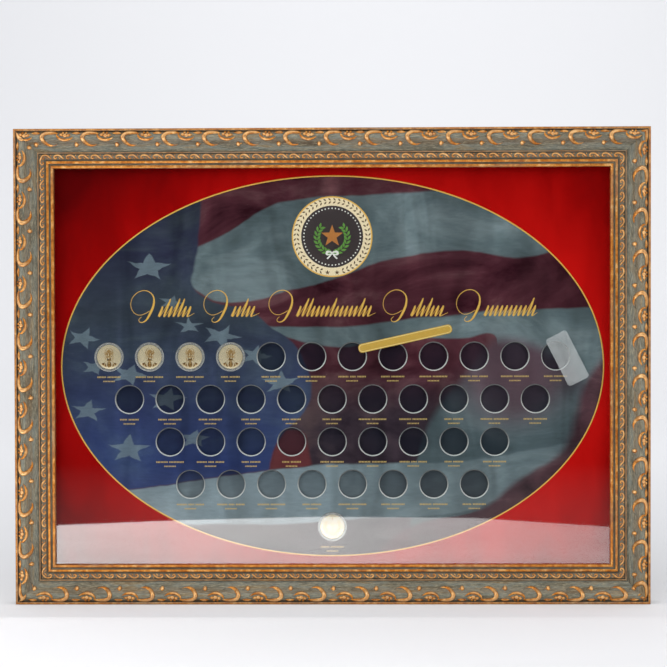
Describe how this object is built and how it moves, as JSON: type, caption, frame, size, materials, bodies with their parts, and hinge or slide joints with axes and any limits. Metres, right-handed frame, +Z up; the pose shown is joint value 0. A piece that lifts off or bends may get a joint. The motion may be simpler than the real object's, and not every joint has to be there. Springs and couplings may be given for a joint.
{
  "type": "coin display frame",
  "caption": "Glazed ornate picture frame with a printed mat of round coin wells, capsuled coins, a loose title plate and a back held by turn buttons.",
  "frame": {"origin": "middle of the bottom edge, at half of the overall depth", "axes": "+Z up, +X to the viewer's right, the glazed front faces -Y"},
  "size_m": [0.686, 0.0358, 0.514],
  "materials": {
    "gilded_wood": "gold leaf beads over patinated wood",
    "composition_ornament": "cast ornament, gold on the relief and grey-blue patina in the recesses",
    "clear_glass": "polished picture glass",
    "spacer_strip": "matt black extruded strip",
    "printed_mat": "satin colour print on mat board, white core at the bevels",
    "foam_board": "paper-faced white foam board",
    "printed_board": "satin colour print on thin board",
    "hardboard": "smooth brown hardboard",
    "gilt_plate": "satin gilt plate",
    "coin_brass": "struck bright brass",
    "clear_acrylic": "clear moulded acrylic",
    "zinc_steel": "zinc-plated stamped steel",
    "screw_steel": "yellow-zinc plated steel",
    "nail_steel": "bare steel",
    "bumper_rubber": "soft moulded rubber"
  },
  "bodies": {
    "frame": {"backing_panel": "hardboard", "base_board": "printed_board", "bumper_left": "bumper_rubber", "bumper_right": "bumper_rubber", "capsule_base_1": "clear_acrylic", "capsule_base_2": "clear_acrylic", "capsule_base_3": "clear_acrylic", "capsule_base_4": "clear_acrylic", "capsule_base_5": "clear_acrylic", "capsule_lid_1": "clear_acrylic", "capsule_lid_2": "clear_acrylic", "capsule_lid_3": "clear_acrylic", "capsule_lid_4": "clear_acrylic", "capsule_lid_5": "clear_acrylic", "coin_1": "coin_brass", "coin_2": "coin_brass", "coin_3": "coin_brass", "coin_4": "coin_brass", "coin_5": "coin_brass", "corner_v_nails": "nail_steel", "face_mat": "printed_mat", "glass": "clear_glass", "hanger_screws": "screw_steel", "hanger_strap_left": "zinc_steel", "hanger_strap_right": "zinc_steel", "ornament_bottom": "composition_ornament", "ornament_left": "composition_ornament", "ornament_right": "composition_ornament", "ornament_top": "composition_ornament", "rail_bottom": "gilded_wood", "rail_left": "gilded_wood", "rail_right": "gilded_wood", "rail_top": "gilded_wood", "spacer_bottom": "spacer_strip", "spacer_left": "spacer_strip", "spacer_right": "spacer_strip", "spacer_top": "spacer_strip", "title_plate": "gilt_plate", "turn_button_screws": "screw_steel", "well_board": "foam_board"},
    "hanger_ring_left": {"hanger_ring_left": "zinc_steel"},
    "hanger_ring_right": {"hanger_ring_right": "zinc_steel"},
    "turn_button_bottom_1": {"turn_button_bottom_1": "zinc_steel"},
    "turn_button_bottom_2": {"turn_button_bottom_2": "zinc_steel"},
    "turn_button_left_1": {"turn_button_left_1": "zinc_steel"},
    "turn_button_left_2": {"turn_button_left_2": "zinc_steel"},
    "turn_button_right_1": {"turn_button_right_1": "zinc_steel"},
    "turn_button_right_2": {"turn_button_right_2": "zinc_steel"},
    "turn_button_top_1": {"turn_button_top_1": "zinc_steel"},
    "turn_button_top_2": {"turn_button_top_2": "zinc_steel"}
  },
  "joints": [
    {"name": "turn_bottom_1", "type": "hinge", "parent": "frame", "child": "turn_button_bottom_1", "pos_m": [-0.185, 0.01385, 0.029], "axis": [0, 1, 0], "continuous": true},
    {"name": "turn_bottom_2", "type": "hinge", "parent": "frame", "child": "turn_button_bottom_2", "pos_m": [0.185, 0.01385, 0.029], "axis": [0, 1, 0], "continuous": true},
    {"name": "turn_top_1", "type": "hinge", "parent": "frame", "child": "turn_button_top_1", "pos_m": [0.185, 0.01385, 0.485], "axis": [0, 1, 0], "continuous": true},
    {"name": "turn_top_2", "type": "hinge", "parent": "frame", "child": "turn_button_top_2", "pos_m": [-0.185, 0.01385, 0.485], "axis": [0, 1, 0], "continuous": true},
    {"name": "turn_right_1", "type": "hinge", "parent": "frame", "child": "turn_button_right_1", "pos_m": [0.314, 0.01385, 0.128], "axis": [0, 1, 0], "continuous": true},
    {"name": "turn_right_2", "type": "hinge", "parent": "frame", "child": "turn_button_right_2", "pos_m": [0.314, 0.01385, 0.283], "axis": [0, 1, 0], "continuous": true},
    {"name": "turn_left_1", "type": "hinge", "parent": "frame", "child": "turn_button_left_1", "pos_m": [-0.314, 0.01385, 0.128], "axis": [0, 1, 0], "continuous": true},
    {"name": "turn_left_2", "type": "hinge", "parent": "frame", "child": "turn_button_left_2", "pos_m": [-0.314, 0.01385, 0.283], "axis": [0, 1, 0], "continuous": true},
    {"name": "ring_swing_left", "type": "hinge", "parent": "frame", "child": "hanger_ring_left", "pos_m": [-0.325, 0.0153, 0.386], "axis": [1, 0, 0], "range_deg": [0, 180]},
    {"name": "ring_swing_right", "type": "hinge", "parent": "frame", "child": "hanger_ring_right", "pos_m": [0.325, 0.0153, 0.386], "axis": [1, 0, 0], "range_deg": [0, 180]}
  ]
}
